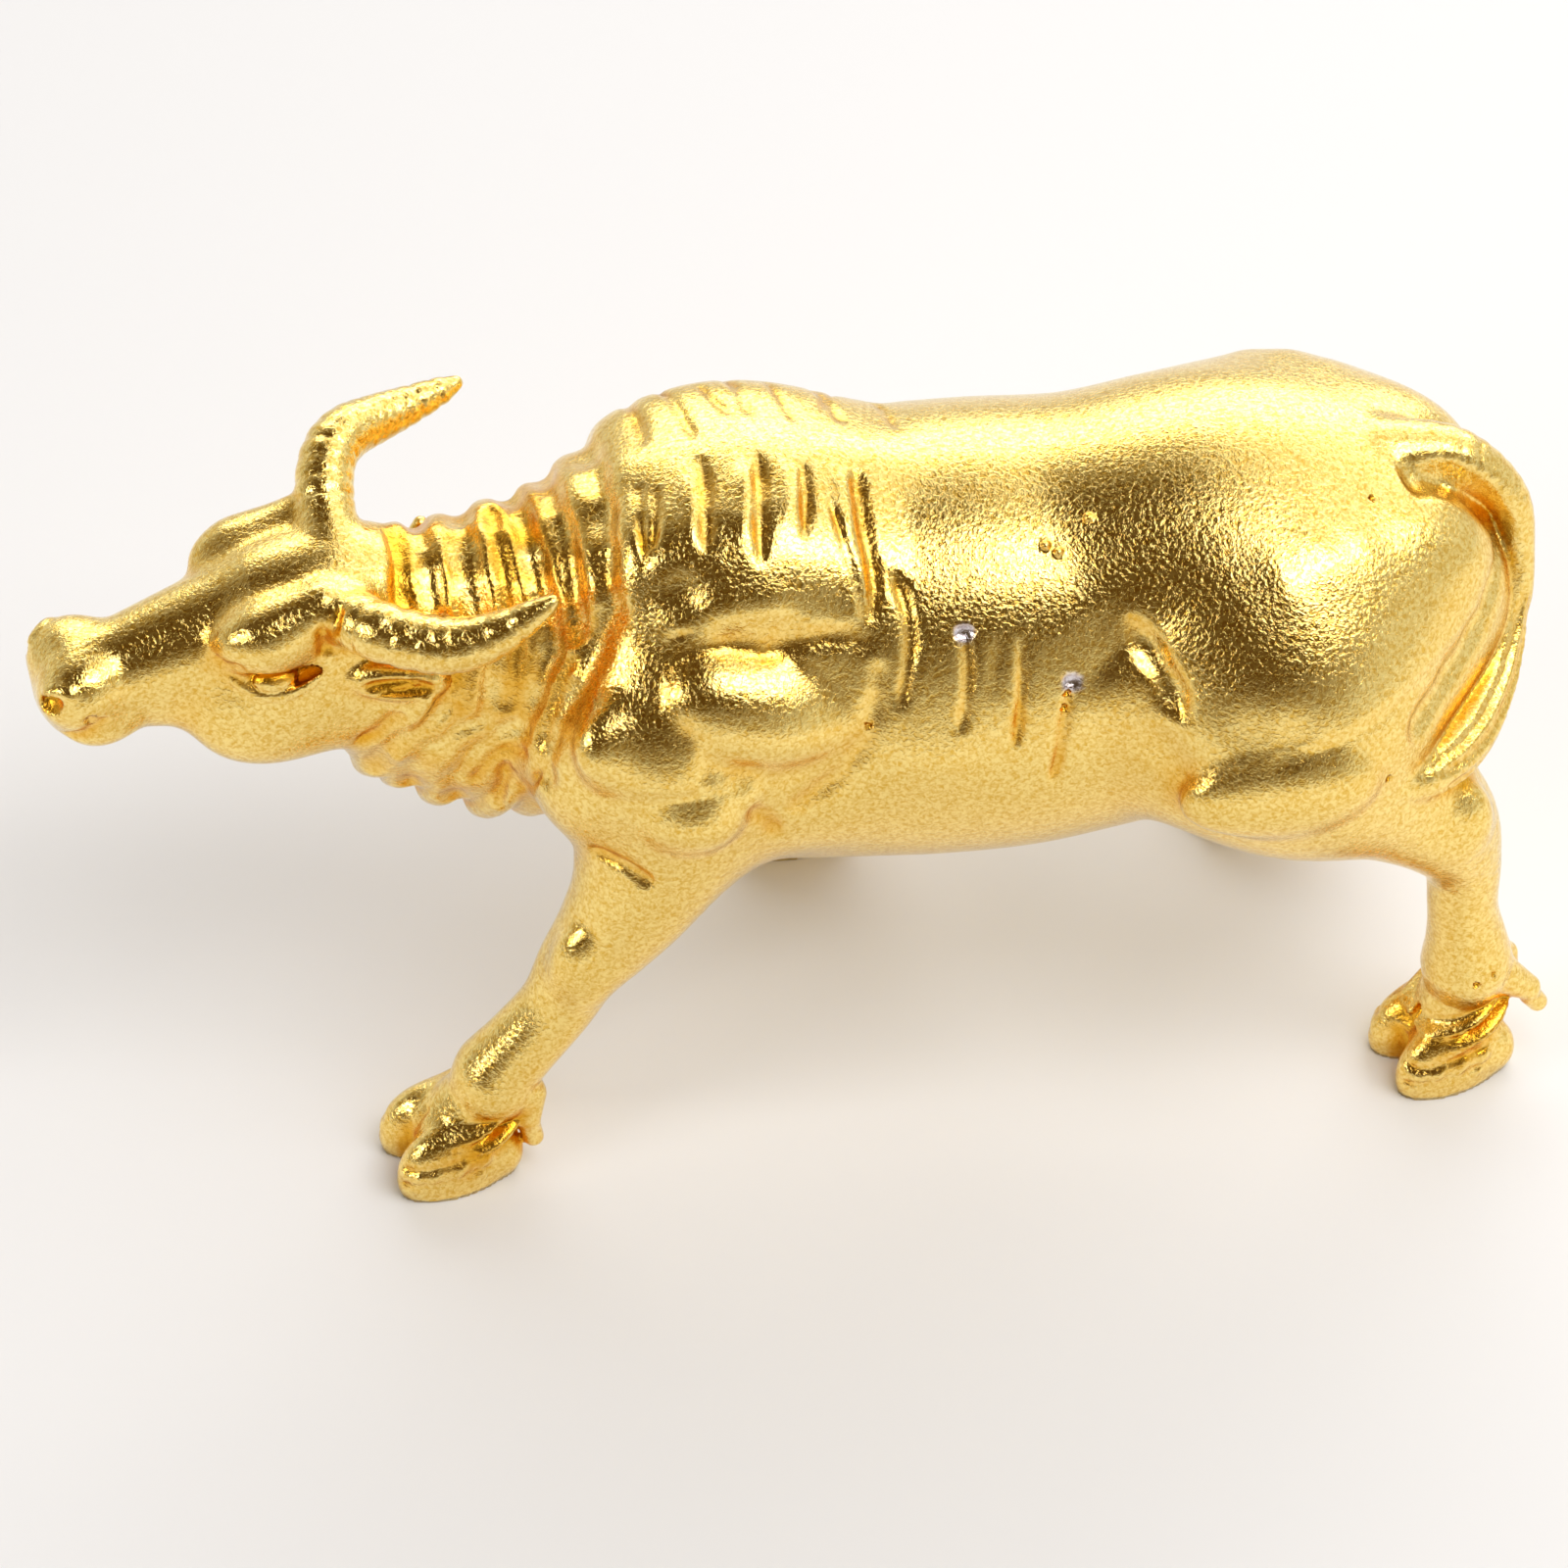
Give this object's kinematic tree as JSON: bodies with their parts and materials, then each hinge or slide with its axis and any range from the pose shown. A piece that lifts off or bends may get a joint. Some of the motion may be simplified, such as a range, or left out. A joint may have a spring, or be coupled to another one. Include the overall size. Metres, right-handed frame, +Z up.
{
  "type": "bull sculpture",
  "caption": "Solid cast walking ox with back-swept ringed horns, a folded neck, cloven hooves and a tail curled round to one haunch; gilt desk figurine.",
  "frame": {"origin": "on the ground under the middle of the footprint box", "axes": "+Z up, the head towards -X, the animal's left flank towards -Y"},
  "size_m": [0.099, 0.038, 0.0502],
  "materials": {
    "gilt": "bright gold plating over a finely grained cast surface"
  },
  "bodies": {
    "root": {"bull": "gilt"}
  },
  "joints": []
}
